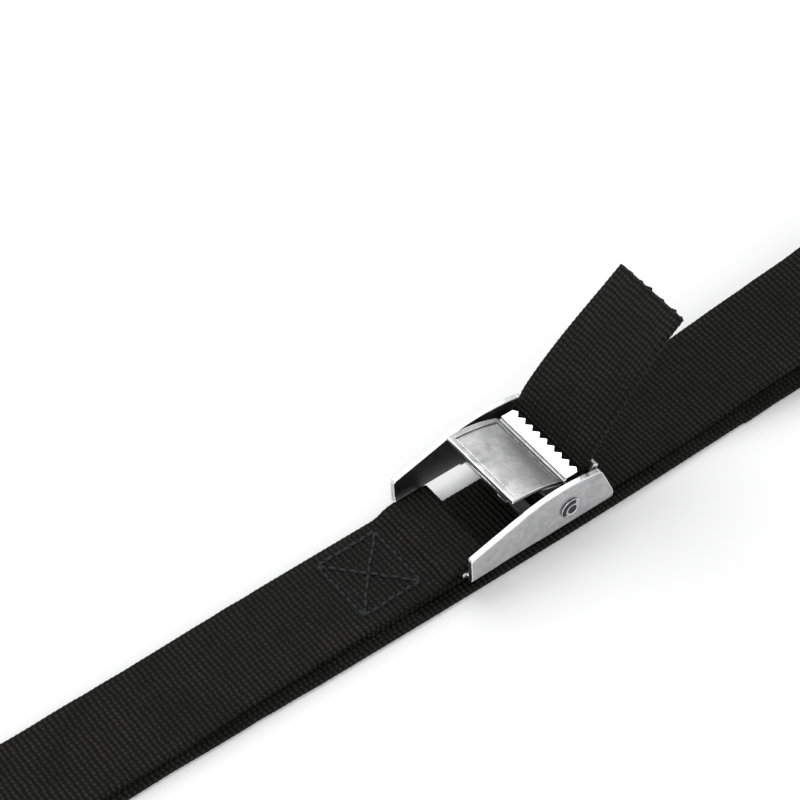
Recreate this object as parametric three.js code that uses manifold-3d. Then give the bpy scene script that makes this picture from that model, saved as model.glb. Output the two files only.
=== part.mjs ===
// A luggage strap: 25 mm webbing sewn round one end of a pressed cam buckle, laid out as a
// long two-ply loop that arches a little beyond the cam, with the free tail rising through it.
// Millimetres. +X runs along the strap from the sewn end to the cam end, +Y across it, +Z up.
// The origin is on the strap's underside, below the middle of the buckle.
import * as THREE from 'three';
import { mergeVertices } from 'three/addons/utils/BufferGeometryUtils.js';
import Module from 'manifold-3d';

const wasm = await Module();
wasm.setup();

// ---------------------------------------------------------------- driving dimensions
const GAP = 0.3; // between faces that touch on the real strap

const WEB_WIDTH = 25;
const WEB_THICK = 1.3;
const STRAP_LENGTH = 1000; // flat, from one cut end to the other
const SEWN_END = 32.2; // folded end, from its cut to the anchor strip
const EYE_STEP_RADIUS = 6; // bends where the fold comes down behind the anchor strip
const CUT_STEP_RADIUS = 3000; // bends where it comes down, slowly, past the cut end
const FOLD_RADIUS = 1.1; // centreline radius of the loop's two end folds
const FOLD_EASING = 14; // bends that ease the upper ply up to those folds
const TAIL_STAND = 1.3; // webbing that stays straight above the anvil wall
const TAIL_LENGTH = 37.7; // free tail beyond that
const TAIL_LEAN = 49; // degrees from level, where the tail leaves the wall
const TAIL_LEAN_RADIUS = 12;
const TAIL_TIP_LEAN = 37.5; // degrees from level, at the cut end
const ARCH_RISE = 13; // the upper ply's arch beyond the cam
const ARCH_FOOT = 38; // where it leaves the lower ply
const ARCH_LEVEL = 15; // level length at its top
const ARCH_LEAN = 11; // degrees from level
const ARCH_RADIUS = 60;
const LOWER_DRIFT = -3; // sideways place of the lower ply under the buckle
const FAR_DRIFT = -2.2; // sideways place of both plies towards the right-hand fold
const FAR_DRIFT_FROM = 60; // buckle's end to where that place is reached

const SHEET = 1.5; // frame sheet
const SIDE_CLEARANCE = 1; // webbing edge to flange, each side
const FRAME_LENGTH = 40.1;
const END_HEIGHT = 7.7; // flange height at the anchor end
const KINK_AT = 15;
const KINK_HEIGHT = 12;
const CROWN_RISE = 1.1; // flange top between the kink and the rear corner
const REAR_RUN = 3.8; // rear corner to the toe, along the frame
const REAR_HEIGHT = 11.9;
const REAR_TOE_HEIGHT = 3.2;
const CORNER_RADIUS = 1.9;
const BEND_RADIUS = 1.1; // outside corner of the channel
const ANCHOR_WIDTH = 7;
const ANCHOR_LIP = 0.8; // anchor strip beyond the flange ends
const LIP_SIDE = 0.35; // and beyond the webbing's edge, each side
const WINDOW_LENGTH = 12.9;
const WINDOW_RELIEF = 0.7; // the window runs this far up into the flanges
const BAR_WIDTH = 3.5;
const TONGUE_WIDTH = 3.2;
const TONGUE_REACH = 0.6;
const TONGUE_AT = -0.5;
const SLOT_LENGTH = 3.25;
const WALL_TOP = 12.7; // anvil wall above the frame's underside
const WALL_SIDE_GAP = 0.35; // anvil wall to flange, each side

const PIN_RADIUS = 1.6;
const PIN_CLEARANCE = 0.12;
const HEAD_RADIUS = 2.75;
const HEAD_HEIGHT = 0.8;
const HEAD_SEAT = 0.05; // rivet head to flange
const DIMPLE_RADIUS = 1.3;
const DIMPLE_DEPTH = 0.45;

const BARREL_WALL = 0.73; // cam barrel round the rivet
const TOOTH_X = 5.5; // tooth tips from the pivot, lever closed
const TOOTH_Z = 5.75;
const TOOTH_PITCH = 2.6;
const TOOTH_DEPTH = 1.1;
const TOOTH_TIP = 0.3; // flat on each tip
const STRIP_SHORT = 0.8; // toothed strip short of the webbing's edge, each side
const STRIP_THICK = 1.4;
const GROOVE_X = 0.55; // groove between panel and toothed strip, from the pivot
const GROOVE_WIDTH = 0.8;
const GROOVE_DEPTH = 0.5;
const PANEL_SHORT = 0.6; // thumb panel short of the webbing's edge, each side
const PANEL_THICK = 1.15;
const PANEL_TIP = [-13.9, 9.5]; // from the pivot, lever closed
const PANEL_CROWN = [-5, 8.75]; // where the tangents of the panel's two ends meet
const RIM = 1.45;
const REAR_RIM = 0.9;
const POCKET_DEPTH = 0.45;
const CHEEK_THICK = 1.5;

const WIRE = 0.55;
const COIL_PITCH = 0.72;
const COIL_TURNS = 7; // whole turns, before the part turn between the legs
const COIL_END_GAP = 0.55; // coil to cam barrel, each side
const LOW_LEG = 7.4; // spring leg on the cross bar
const HIGH_LEG = 8.4; // spring leg under the thumb panel
const HIGH_LEAN = 146.5; // its direction, degrees from +X

const STITCH_LENGTH = 16.5;
const STITCH_INSET = 3.35; // webbing edge to the box, each side
const STITCH_SIDE = 0.5; // the box is sewn this far off centre
const STITCH_FROM_STRIP = 15.4; // anchor strip's inner edge to the box
const THREAD = 0.8;
const THREAD_THICK = 0.3;

// ---------------------------------------------------------------- places worked out from them
const half = WEB_WIDTH / 2;
const innerHalf = half + SIDE_CLEARANCE;
const outerHalf = innerHalf + SHEET;
const ply = WEB_THICK + GAP;
const lowerZ = WEB_THICK / 2;
const upperZ = lowerZ + ply;
const frameBottom = 2 * ply;
const baseTop = frameBottom + SHEET;
const wrapRadius = SHEET / 2 + GAP + WEB_THICK / 2; // webbing centreline round a sheet edge
const frameLeft = -FRAME_LENGTH / 2;
const anchorRight = frameLeft + ANCHOR_WIDTH;
const barLeft = anchorRight + WINDOW_LENGTH;
const barRight = barLeft + BAR_WIDTH;
const anvilLeft = barRight + SLOT_LENGTH;
const barrelRadius = PIN_RADIUS + PIN_CLEARANCE + BARREL_WALL;
const anvilRadius = barrelRadius + 2 * GAP + WEB_THICK;
const pivotX = anvilLeft + SHEET / 2 + 0.15;
const pivotZ = baseTop + anvilRadius;
// The wall stands tangent to the anvil, so that the tooth tips just meet the webbing on it.
const toothReach = Math.hypot(TOOTH_X, TOOTH_Z);
const wallNormal = Math.atan2(TOOTH_Z, TOOTH_X) - Math.acos(barrelRadius / toothReach);
const wallAngle = wallNormal + Math.PI / 2;
const wallTop = frameBottom + WALL_TOP;
const stripHalf = half - STRIP_SHORT;
const panelHalf = half - PANEL_SHORT;
const coilRadius = PIN_RADIUS + PIN_CLEARANCE + WIRE / 2;
// The spring's low leg leaves the coil at a tangent and its tip rests on the cross bar.
const highLean = THREE.MathUtils.degToRad(HIGH_LEAN);
const lowDrop = anvilRadius - GAP - WIRE / 2;
const lowLean = Math.asin(lowDrop / Math.hypot(coilRadius, LOW_LEG)) - Math.atan2(coilRadius, LOW_LEG);
const springSweep = highLean - lowLean + 2 * Math.PI * COIL_TURNS;
const springRoom = ((COIL_PITCH * springSweep) / (2 * Math.PI) + WIRE) / 2 + COIL_END_GAP;

// ---------------------------------------------------------------- materials
const steel = new THREE.MeshStandardMaterial({ color: 0xb9babb, roughness: 0.38, metalness: 1 });
const zinc = new THREE.MeshStandardMaterial({ color: 0xc9cacb, roughness: 0.22, metalness: 1 });
const rivetMetal = new THREE.MeshStandardMaterial({ color: 0xa9abad, roughness: 0.35, metalness: 1 });
const springWire = new THREE.MeshStandardMaterial({ color: 0x8f9091, roughness: 0.3, metalness: 1 });
const blackWebbing = new THREE.MeshStandardMaterial({ color: 0x151416, roughness: 0.85, metalness: 0 });
const thread = new THREE.MeshStandardMaterial({ color: 0x22242a, roughness: 0.7, metalness: 0 });

// ---------------------------------------------------------------- helpers
function toSolid(geometry) {
  const bare = geometry.clone();
  bare.deleteAttribute('normal');
  bare.deleteAttribute('uv');
  const merged = mergeVertices(bare, 1e-4);
  return new wasm.Manifold(new wasm.Mesh({
    numProp: 3,
    vertProperties: new Float32Array(merged.attributes.position.array),
    triVerts: new Uint32Array(merged.index.array),
  }));
}

function toGeometry(solid) {
  const data = solid.getMesh();
  const geometry = new THREE.BufferGeometry();
  geometry.setAttribute('position', new THREE.BufferAttribute(data.vertProperties, 3));
  geometry.setIndex(new THREE.BufferAttribute(data.triVerts, 1));
  geometry.computeVertexNormals();
  return geometry;
}

function union(solids) {
  return solids.reduce((whole, piece) => whole.add(piece));
}

// A side view, drawn in X and Z, pushed across the strap from y0 to y1.
function across(shape, y0, y1, curveSegments = 10) {
  const geometry = new THREE.ExtrudeGeometry(shape, { depth: y1 - y0, bevelEnabled: false, curveSegments });
  geometry.rotateX(Math.PI / 2);
  geometry.translate(0, y1, 0);
  return toSolid(geometry);
}

function outline(points) {
  return new THREE.Shape(points.map(([x, z]) => new THREE.Vector2(x, z)));
}

function box(x0, x1, y0, y1, z0, z1) {
  const geometry = new THREE.BoxGeometry(x1 - x0, y1 - y0, z1 - z0);
  geometry.translate((x0 + x1) / 2, (y0 + y1) / 2, (z0 + z1) / 2);
  return toSolid(geometry);
}

function circle(x, z, radius) {
  const shape = new THREE.Shape();
  shape.absarc(x, z, radius, 0, 2 * Math.PI);
  return shape;
}

const strap = new THREE.Group();

function add(name, geometry, material, parent = strap) {
  const mesh = new THREE.Mesh(geometry, material);
  mesh.name = name;
  parent.add(mesh);
  return mesh;
}

// ---------------------------------------------------------------- buckle frame
// One flange, seen from the side: low at the anchor end, a kink where the crown starts, a
// slanted cam end, and a shallow relief in the lower edge beside the window.
function flangeShape() {
  const bevel = 0.5; // broken corners
  const reliefSlope = 0.7;
  const x = (along) => frameLeft + along;
  const z = (height) => frameBottom + height;
  const reliefFrom = ANCHOR_WIDTH + bevel / 2;
  const reliefTo = barLeft - frameLeft - 1;
  const rearAt = FRAME_LENGTH - REAR_RUN;
  const shape = new THREE.Shape();
  shape.moveTo(x(bevel), z(0));
  shape.lineTo(x(reliefFrom), z(0));
  shape.lineTo(x(reliefFrom + reliefSlope), z(WINDOW_RELIEF));
  shape.lineTo(x(reliefTo - reliefSlope), z(WINDOW_RELIEF));
  shape.lineTo(x(reliefTo), z(0));
  shape.lineTo(x(FRAME_LENGTH - CORNER_RADIUS), z(0));
  shape.quadraticCurveTo(x(FRAME_LENGTH), z(0), x(FRAME_LENGTH), z(CORNER_RADIUS));
  shape.lineTo(x(FRAME_LENGTH - bevel / 2), z(REAR_TOE_HEIGHT));
  shape.lineTo(x(rearAt + bevel), z(REAR_HEIGHT - 2 * bevel));
  shape.quadraticCurveTo(x(rearAt), z(REAR_HEIGHT), x(rearAt - 2 * bevel), z(REAR_HEIGHT));
  shape.quadraticCurveTo(
    x((KINK_AT + rearAt) / 2),
    z((KINK_HEIGHT + REAR_HEIGHT) / 2 + 2 * CROWN_RISE),
    x(KINK_AT + bevel),
    z(KINK_HEIGHT),
  );
  shape.lineTo(x(KINK_AT - 2 * bevel), z(KINK_HEIGHT - bevel));
  shape.lineTo(x(bevel), z(END_HEIGHT));
  shape.lineTo(x(0), z(END_HEIGHT - bevel));
  shape.lineTo(x(0), z(bevel));
  shape.closePath();
  return shape;
}

// The sheet of the anvil: flat under the pivot, curved round it through endAngle, then
// straight up for wallRun as the wall, with the wall's inner top edge broken.
function anvilShape(endAngle, wallRun) {
  const arcSteps = 10;
  const inner = [[anvilLeft + SHEET / 2, baseTop], [pivotX, baseTop]];
  const outer = [[anvilLeft + SHEET / 2, frameBottom], [pivotX, frameBottom]];
  for (let i = 1; i <= arcSteps; i += 1) {
    const a = -Math.PI / 2 + (endAngle * i) / arcSteps;
    inner.push([pivotX + anvilRadius * Math.cos(a), pivotZ + anvilRadius * Math.sin(a)]);
    outer.push([pivotX + (anvilRadius + SHEET) * Math.cos(a), pivotZ + (anvilRadius + SHEET) * Math.sin(a)]);
  }
  if (wallRun > 0) {
    const broken = SHEET / 4;
    const [ix, iz] = inner[inner.length - 1];
    const [ox, oz] = outer[outer.length - 1];
    const dx = wallRun * Math.cos(wallAngle);
    const dz = wallRun * Math.sin(wallAngle);
    inner.push([ix + dx - broken / 2, iz + dz - broken], [ix + dx + broken / 2, iz + dz]);
    outer.push([ox + dx, oz + dz]);
  }
  const nose = halfRound(anvilLeft + SHEET / 2, frameBottom + SHEET / 2, Math.PI / 2);
  return outline([...outer, ...inner.reverse(), ...nose.slice(1, -1)]);
}

// Points round half a sheet's thickness, turning left from angle from.
function halfRound(x, z, from) {
  const steps = 6;
  const r = SHEET / 2;
  return Array.from({ length: steps + 1 }, (_, i) => {
    const a = from + (Math.PI * i) / steps;
    return [x + r * Math.cos(a), z + r * Math.sin(a)];
  });
}

// A strip of the base between the flanges; its right edge is round where webbing wraps it.
function baseStrip(x0, x1, roundRight) {
  const square = [[x1, frameBottom], [x1, baseTop]];
  const round = halfRound(x1 - SHEET / 2, frameBottom + SHEET / 2, -Math.PI / 2);
  const points = [[x0, frameBottom], ...(roundRight ? round : square), [x0, baseTop]];
  return across(outline(points), -innerHalf - SHEET / 2, innerHalf + SHEET / 2);
}

// The channel is bent from flat sheet, so its two long lower corners are round.
function channelEnvelope() {
  const section = new THREE.Shape();
  const top = frameBottom + 2 * WALL_TOP;
  section.moveTo(-outerHalf, top);
  section.lineTo(-outerHalf, frameBottom + BEND_RADIUS);
  section.quadraticCurveTo(-outerHalf, frameBottom, -outerHalf + BEND_RADIUS, frameBottom);
  section.lineTo(outerHalf - BEND_RADIUS, frameBottom);
  section.quadraticCurveTo(outerHalf, frameBottom, outerHalf, frameBottom + BEND_RADIUS);
  section.lineTo(outerHalf, top);
  const envelope = new THREE.ExtrudeGeometry(section, {
    depth: 2 * FRAME_LENGTH,
    bevelEnabled: false,
    curveSegments: 4,
  });
  envelope.rotateX(Math.PI / 2);
  envelope.rotateZ(Math.PI / 2);
  envelope.translate(-FRAME_LENGTH, 0, 0);
  return toSolid(envelope);
}

function frameSolid() {
  const flange = flangeShape();
  flange.holes.push(circle(pivotX, pivotZ, PIN_RADIUS + PIN_CLEARANCE));
  const tangentZ = pivotZ + anvilRadius * Math.sin(wallNormal);
  const wallRun = (wallTop - tangentZ) / Math.sin(wallAngle);
  const wallHalf = innerHalf - WALL_SIDE_GAP;
  const lipHalf = half + LIP_SIDE;
  const rootAngle = Math.PI / 5; // the anvil joins the flanges this far round
  const [tongueFrom, tongueTo] = [TONGUE_AT - TONGUE_WIDTH / 2, TONGUE_AT + TONGUE_WIDTH / 2];
  return union([
    across(flange, -outerHalf, -innerHalf, 16),
    across(flange, innerHalf, outerHalf, 16),
    baseStrip(frameLeft, anchorRight, true),
    box(frameLeft - ANCHOR_LIP, frameLeft + SHEET, -lipHalf, lipHalf, frameBottom, baseTop),
    baseStrip(barLeft, barRight, false),
    box(barLeft - TONGUE_REACH, barLeft + SHEET / 2, tongueFrom, tongueTo, frameBottom, baseTop),
    across(anvilShape(rootAngle, 0), -innerHalf - SHEET / 2, innerHalf + SHEET / 2),
    across(anvilShape(wallAngle, wallRun), -wallHalf, wallHalf),
  ]).intersect(channelEnvelope());
}

add('buckle_frame', toGeometry(frameSolid()), steel);

// ---------------------------------------------------------------- pivot rivet
// A shank through both flanges, with a domed head each side that has a dimple in it.
function rivetGeometry() {
  const seat = outerHalf + HEAD_SEAT;
  const end = seat + HEAD_HEIGHT;
  const rim = HEAD_HEIGHT / 2;
  const side = [
    [0, end - DIMPLE_DEPTH],
    [DIMPLE_RADIUS - rim, end - DIMPLE_DEPTH],
    [DIMPLE_RADIUS, end],
    [HEAD_RADIUS - 2 * rim, end],
    [HEAD_RADIUS - rim / 4, end - rim],
    [HEAD_RADIUS, seat],
    [PIN_RADIUS, seat],
  ];
  const profile = [
    ...side.map(([r, y]) => new THREE.Vector2(r, -y)),
    ...side.reverse().map(([r, y]) => new THREE.Vector2(r, y)),
  ];
  return new THREE.LatheGeometry(profile, 32);
}

const rivet = add('pivot_rivet', toGeometry(toSolid(rivetGeometry())), rivetMetal);
rivet.position.set(pivotX, 0, pivotZ);

// ---------------------------------------------------------------- cam lever, drawn from its pivot
// The thumb panel's curved top, lowered by drop and cut to x0..x1, closed by the same curve
// moved up by raise, which is negative below it.
function panelShape(drop, x0, x1, raise) {
  const curve = new THREE.QuadraticBezierCurve(
    new THREE.Vector2(PANEL_TIP[0], PANEL_TIP[1] - drop),
    new THREE.Vector2(PANEL_CROWN[0], PANEL_CROWN[1] - drop),
    new THREE.Vector2(GROOVE_X, TOOTH_Z - drop),
  );
  const length = GROOVE_X - PANEL_TIP[0];
  const upper = curve.getPoints(24).filter((p) => p.x >= x0 && p.x <= x1);
  if (x0 > PANEL_TIP[0]) {
    upper.unshift(new THREE.Vector2(x0, curve.getPoint((x0 - PANEL_TIP[0]) / length).y));
  }
  const other = upper.map((p) => new THREE.Vector2(p.x, p.y + raise)).reverse();
  const ring = [...upper, ...other];
  return new THREE.Shape(raise < 0 ? ring.reverse() : ring);
}

// The toothed strip, seen from above.
function combShape() {
  const shape = new THREE.Shape();
  const root = TOOTH_X - TOOTH_DEPTH;
  const corner = root + TOOTH_TIP;
  const count = Math.round((2 * stripHalf) / TOOTH_PITCH);
  shape.moveTo(GROOVE_X, -stripHalf);
  shape.lineTo(corner, -stripHalf);
  for (let i = 0; i < count; i += 1) {
    const y = (i - (count - 1) / 2) * TOOTH_PITCH;
    shape.lineTo(TOOTH_X, y - TOOTH_TIP / 2);
    shape.lineTo(TOOTH_X, y + TOOTH_TIP / 2);
    if (i < count - 1) {
      shape.lineTo(root, y + TOOTH_PITCH / 2);
    }
  }
  shape.lineTo(corner, stripHalf);
  shape.lineTo(GROOVE_X, stripHalf);
  shape.closePath();
  return shape;
}

// Nothing on the cam may pass the plane that its tooth tips share with the barrel.
function pastTipPlane() {
  const reach = 3 * toothReach;
  const nx = Math.cos(wallNormal);
  const nz = Math.sin(wallNormal);
  const [fx, fz] = [barrelRadius * nx, barrelRadius * nz];
  return across(outline([
    [fx + reach * nz, fz - reach * nx],
    [fx + reach * (nz + nx), fz - reach * (nx - nz)],
    [fx - reach * (nz - nx), fz + reach * (nx + nz)],
    [fx - reach * nz, fz + reach * nx],
  ]), -outerHalf, outerHalf);
}

function leverSolid() {
  const under = TOOTH_Z - STRIP_THICK + 0.2; // a little inside the strip
  const panel = across(panelShape(0, PANEL_TIP[0], GROOVE_X, -PANEL_THICK), -panelHalf, panelHalf);
  const pocket = across(
    panelShape(POCKET_DEPTH, PANEL_TIP[0] + RIM, GROOVE_X - REAR_RIM, 2 * PANEL_THICK),
    -panelHalf + RIM,
    panelHalf - RIM,
  );
  const comb = new THREE.ExtrudeGeometry(combShape(), { depth: STRIP_THICK, bevelEnabled: false });
  comb.translate(0, 0, TOOTH_Z - STRIP_THICK);
  const grooveFloor = TOOTH_Z - GROOVE_DEPTH;
  const grooveEnd = GROOVE_X + GROOVE_WIDTH;
  const join = box(GROOVE_X - PANEL_THICK, grooveEnd, -stripHalf, stripHalf, under, grooveFloor);
  const groove = box(GROOVE_X, grooveEnd, -outerHalf, outerHalf, grooveFloor, TOOTH_Z + 1);
  // The web from the barrel up to the strip, and the cheek that stiffens each side of the panel.
  const web = outline([
    [-1.9, 1.2],
    [0.9, -1.4],
    [2.2, 0.3],
    [TOOTH_X - TOOTH_DEPTH - 0.5, under],
    [GROOVE_X - 0.9, under],
  ]);
  const cheek = outline([
    [-1.9, 1.4],
    [1.5, 1.4],
    [1.5, under],
    [-1.2, under + 0.7],
    [-6.2, 7.4],
    [-6.2, 6.8],
  ]);
  const barrel = circle(0, 0, barrelRadius);
  const sides = [-1, 1].flatMap((sign) => {
    const between = (shape, from, to, segments) => (
      across(shape, Math.min(sign * from, sign * to), Math.max(sign * from, sign * to), segments)
    );
    return [
      between(barrel, springRoom, innerHalf - GAP, 16),
      between(web, springRoom, stripHalf),
      between(cheek, panelHalf - CHEEK_THICK, panelHalf),
    ];
  });
  const bore = across(circle(0, 0, PIN_RADIUS + PIN_CLEARANCE), -outerHalf, outerHalf, 16);
  return union([panel, toSolid(comb), join, ...sides])
    .subtract(pocket)
    .subtract(groove)
    .subtract(bore)
    .subtract(pastTipPlane());
}

const cam = new THREE.Group();
cam.position.set(pivotX, 0, pivotZ);
strap.add(cam);
add('cam_lever', toGeometry(leverSolid()), zinc, cam);

// ---------------------------------------------------------------- return spring
// A coil on the rivet; one leg bears on the cross bar and the other under the thumb panel.
class SpringLine extends THREE.Curve {
  constructor() {
    super();
    this.start = lowLean - Math.PI / 2;
    this.sweep = springSweep;
    this.coil = springSweep * Math.hypot(coilRadius, COIL_PITCH / (2 * Math.PI));
    this.total = LOW_LEG + this.coil + HIGH_LEG;
  }

  coilPoint(angle) {
    const turned = angle - this.start;
    return new THREE.Vector3(
      coilRadius * Math.cos(angle),
      (COIL_PITCH * (turned - this.sweep / 2)) / (2 * Math.PI),
      coilRadius * Math.sin(angle),
    );
  }

  getPoint(t, target = new THREE.Vector3()) {
    const s = t * this.total;
    if (s < LOW_LEG) {
      const away = new THREE.Vector3(-Math.cos(lowLean), 0, -Math.sin(lowLean));
      return target.copy(this.coilPoint(this.start)).addScaledVector(away, LOW_LEG - s);
    }
    if (s > LOW_LEG + this.coil) {
      const away = new THREE.Vector3(Math.cos(highLean), 0, Math.sin(highLean));
      const coilEnd = this.coilPoint(this.start + this.sweep);
      return target.copy(coilEnd).addScaledVector(away, s - LOW_LEG - this.coil);
    }
    return target.copy(this.coilPoint(this.start + (this.sweep * (s - LOW_LEG)) / this.coil));
  }
}

const wireSection = new THREE.Shape();
wireSection.absarc(0, 0, WIRE / 2, 0, 2 * Math.PI);
const springGeometry = new THREE.ExtrudeGeometry(wireSection, {
  steps: 150,
  curveSegments: 4,
  extrudePath: new SpringLine(),
});
const spring = add('return_spring', springGeometry, springWire);
spring.position.set(pivotX, 0, pivotZ);

// ---------------------------------------------------------------- webbing
// The strap's centreline, paid out like a ribbon: straight runs and bends in the X-Z plane,
// with a slow sideways drift. Each station is a place on it, kept in the run that it lies in.
class Ribbon {
  constructor(x, z, y) {
    this.at = { x, z, y, heading: 0 };
    this.runs = [];
    this.length = 0;
  }

  // The stations that follow belong to this run. It starts a gap away from the one before.
  begin(name) {
    if (this.runs.length > 0) {
      this.step(GAP);
      this.length += GAP;
    }
    this.runs.push({ name, stations: [{ ...this.at }] });
  }

  step(distance) {
    this.at.x += distance * Math.cos(this.at.heading);
    this.at.z += distance * Math.sin(this.at.heading);
  }

  put() {
    this.runs[this.runs.length - 1].stations.push({ ...this.at });
  }

  run(length, driftTo = this.at.y) {
    const steps = driftTo === this.at.y ? 1 : 8;
    const from = this.at.y;
    for (let i = 1; i <= steps; i += 1) {
      const t = i / steps;
      this.step(length / steps);
      this.at.y = from + (driftTo - from) * t * t * (3 - 2 * t);
      this.put();
    }
    this.length += length;
  }

  runToX(x, driftTo) {
    this.run(Math.abs(x - this.at.x), driftTo);
  }

  // Positive angles bend to the left of the way the ribbon runs.
  bend(angle, radius) {
    const steps = Math.max(3, Math.ceil(Math.abs(angle) / (Math.PI / 10)));
    const turn = angle / steps;
    const chord = 2 * radius * Math.sin(Math.abs(turn) / 2);
    for (let i = 0; i < steps; i += 1) {
      this.at.heading += turn / 2;
      this.step(chord);
      this.at.heading += turn / 2;
      this.put();
    }
    this.length += Math.abs(angle) * radius;
  }

  // Two equal bends that carry the ribbon sideways by offset, positive to its left.
  shift(offset, radius) {
    const angle = Math.sign(offset) * Math.acos(1 - Math.abs(offset) / (2 * radius));
    this.bend(angle, radius);
    this.bend(-angle, radius);
  }

  // The same with a straight slope between the bends.
  ramp(offset, lean, radius, slope, driftTo) {
    this.bend(Math.sign(offset) * lean, radius);
    this.run(slope, driftTo);
    this.bend(-Math.sign(offset) * lean, radius);
  }
}

function layStrap(loopHalf) {
  const foldTop = lowerZ + 2 * FOLD_RADIUS;
  const easeAngle = Math.acos(1 - (foldTop - upperZ) / (2 * FOLD_EASING));
  const easeRun = 2 * FOLD_EASING * Math.sin(easeAngle);
  const archLean = THREE.MathUtils.degToRad(ARCH_LEAN);
  const archSlope = (ARCH_RISE - 2 * ARCH_RADIUS * (1 - Math.cos(archLean))) / Math.sin(archLean);
  const archRun = 2 * ARCH_RADIUS * Math.sin(archLean) + archSlope * Math.cos(archLean);
  const cutEnd = anchorRight - SHEET / 2 - SEWN_END;
  const ribbon = new Ribbon(cutEnd, upperZ, 0);
  // Folded end, under the anchor strip, round its edge and back over it.
  ribbon.begin('webbing_sewn_end');
  ribbon.runToX(anchorRight - SHEET / 2);
  ribbon.bend(Math.PI, wrapRadius);
  ribbon.runToX(frameLeft - ANCHOR_LIP - SHEET / 2);
  ribbon.shift(wrapRadius * 2 - ply, EYE_STEP_RADIUS);
  ribbon.runToX(cutEnd - SHEET / 2);
  // Upper ply to the left-hand fold, lower ply to the right-hand one, upper ply back.
  ribbon.begin('webbing_loop');
  ribbon.shift(ply, CUT_STEP_RADIUS);
  ribbon.runToX(-loopHalf + FOLD_RADIUS + easeRun);
  ribbon.shift(upperZ - foldTop, FOLD_EASING);
  ribbon.bend(Math.PI, FOLD_RADIUS);
  ribbon.runToX(pivotX, LOWER_DRIFT);
  ribbon.runToX(FRAME_LENGTH / 2 + FAR_DRIFT_FROM, FAR_DRIFT);
  ribbon.runToX(loopHalf - FOLD_RADIUS);
  ribbon.bend(Math.PI, FOLD_RADIUS);
  ribbon.shift(foldTop - upperZ, FOLD_EASING);
  // Over the arch and down to the buckle.
  ribbon.begin('webbing_arch');
  ribbon.runToX(ARCH_FOOT + 2 * archRun + ARCH_LEVEL);
  ribbon.ramp(-ARCH_RISE, archLean, ARCH_RADIUS, archSlope);
  ribbon.runToX(ARCH_FOOT + archRun);
  ribbon.ramp(ARCH_RISE, archLean, ARCH_RADIUS, archSlope, 0);
  ribbon.runToX(FRAME_LENGTH / 2 + SHEET);
  // Under the anvil, up through the slot, round the cam and up the wall.
  ribbon.begin('webbing_cam_run');
  ribbon.runToX(anvilLeft + SHEET / 2);
  ribbon.bend(-Math.PI, wrapRadius);
  ribbon.runToX(pivotX);
  ribbon.bend(wallAngle, anvilRadius - GAP - WEB_THICK / 2);
  ribbon.run((wallTop + TAIL_STAND - ribbon.at.z) / Math.sin(wallAngle));
  // Free tail, leaning over under its own weight.
  const lean = THREE.MathUtils.degToRad(TAIL_LEAN);
  const tip = THREE.MathUtils.degToRad(TAIL_TIP_LEAN);
  const leanRun = (wallAngle - lean) * TAIL_LEAN_RADIUS;
  ribbon.begin('webbing_tail');
  ribbon.bend(lean - wallAngle, TAIL_LEAN_RADIUS);
  ribbon.bend(tip - lean, (TAIL_LENGTH - leanRun) / (lean - tip));
  return ribbon;
}

// Each millimetre on the loop's half length takes four millimetres of webbing.
const trialHalf = 250;
const loopHalf = trialHalf + (STRAP_LENGTH - layStrap(trialHalf).length) / 4;

function bandGeometry(stations) {
  const corners = [];
  stations.forEach(({ x, z, y, heading }) => {
    const nx = (-Math.sin(heading) * WEB_THICK) / 2;
    const nz = (Math.cos(heading) * WEB_THICK) / 2;
    corners.push(x + nx, y - half, z + nz, x + nx, y + half, z + nz);
    corners.push(x - nx, y + half, z - nz, x - nx, y - half, z - nz);
  });
  const index = [];
  for (let i = 0; i + 1 < stations.length; i += 1) {
    for (let side = 0; side < 4; side += 1) {
      const a = 4 * i + side;
      const b = 4 * i + ((side + 1) % 4);
      index.push(a, a + 4, b, b, a + 4, b + 4);
    }
  }
  const last = 4 * (stations.length - 1);
  index.push(0, 1, 2, 0, 2, 3, last, last + 2, last + 1, last, last + 3, last + 2);
  const geometry = new THREE.BufferGeometry();
  geometry.setAttribute('position', new THREE.Float32BufferAttribute(corners, 3));
  geometry.setIndex(index);
  geometry.computeVertexNormals();
  return geometry;
}

// One strap, made as five rigid runs that stop a gap short of each other.
layStrap(loopHalf).runs.forEach(({ name, stations }) => {
  add(name, bandGeometry(stations), blackWebbing);
});

// ---------------------------------------------------------------- box stitching
// The seam that shuts the fold: a box with a cross in it, lying on the upper ply.
function stitchSolid() {
  const x1 = anchorRight - STITCH_FROM_STRIP;
  const x0 = x1 - STITCH_LENGTH;
  const z0 = upperZ + ply + WEB_THICK / 2 + 0.05;
  const z1 = z0 + THREAD_THICK;
  const side = half - STITCH_INSET;
  const [y0, y1] = [STITCH_SIDE - side, STITCH_SIDE + side];
  const bars = [
    box(x0, x1, y0, y0 + THREAD, z0, z1),
    box(x0, x1, y1 - THREAD, y1, z0, z1),
    box(x0, x0 + THREAD, y0, y1, z0, z1),
    box(x1 - THREAD, x1, y0, y1, z0, z1),
  ];
  [-1, 1].forEach((sign) => {
    const bar = new THREE.BoxGeometry(Math.hypot(STITCH_LENGTH, 2 * side) - 2 * THREAD, THREAD, THREAD_THICK);
    bar.rotateZ(sign * Math.atan2(2 * side, STITCH_LENGTH));
    bar.translate((x0 + x1) / 2, STITCH_SIDE, (z0 + z1) / 2);
    bars.push(toSolid(bar));
  });
  return union(bars);
}

add('box_stitching', toGeometry(stitchSolid()), thread);

export default strap;
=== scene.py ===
import math
import bpy
import bmesh
import numpy as np
from mathutils import Matrix, Vector


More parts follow.
